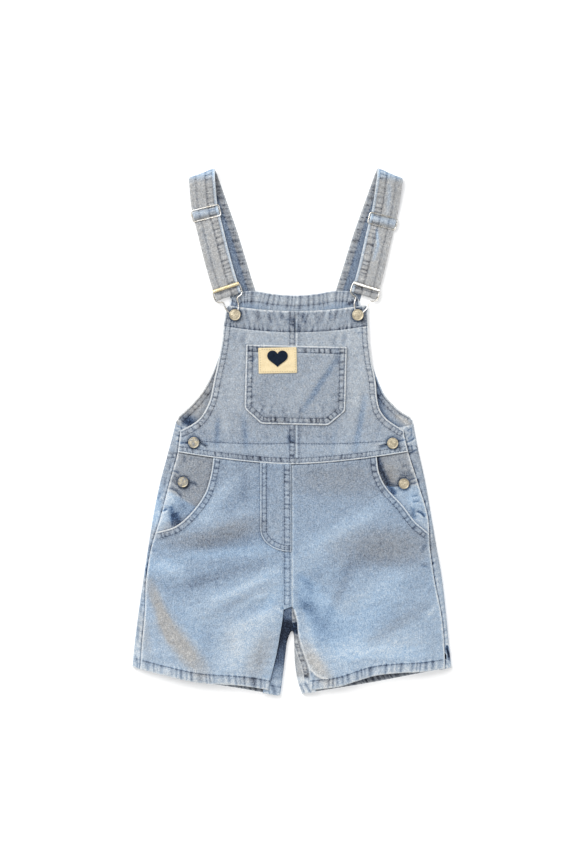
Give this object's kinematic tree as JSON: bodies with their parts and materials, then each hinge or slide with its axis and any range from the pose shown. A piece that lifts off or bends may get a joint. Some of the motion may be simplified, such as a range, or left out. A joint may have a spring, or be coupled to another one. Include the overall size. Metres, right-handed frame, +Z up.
{
  "type": "shortalls",
  "caption": "Child's washed denim shortalls laid flat: bib with patch pocket, buckled straps, side buttons, curved hip pockets and two open legs.",
  "frame": {"origin": "middle of the bounding box, on the surface that the garment lies on", "axes": "+Z up out of the front of the garment, +Y from the hems to the straps, +X to the viewer's right"},
  "size_m": [0.3824, 0.6308, 0.0176],
  "materials": {
    "denim": "pale blue washed twill, matt",
    "strap_denim": "pale grey-blue washed twill, matt",
    "patch_leather": "cream, satin",
    "heart_navy": "navy, matt",
    "metal": "warm silver, satin"
  },
  "bodies": {
    "root": {"front_bib_left": "denim", "front_bib_right": "denim", "bib_pocket": "denim", "bib_patch": "patch_leather", "patch_heart": "heart_navy", "front_leg_left": "denim", "front_leg_right": "denim", "fly_facing": "denim", "hip_panel_left": "denim", "hip_panel_right": "denim", "back_bib": "denim", "back_leg_left": "denim", "back_leg_right": "denim", "strap_left": "strap_denim", "strap_right": "strap_denim", "slider_left": "metal", "slider_right": "metal", "buckle_left": "metal", "buckle_right": "metal", "bib_button_left": "metal", "bib_button_right": "metal", "waist_button_left": "metal", "waist_button_right": "metal", "hip_button_left": "metal", "hip_button_right": "metal"}
  },
  "joints": []
}
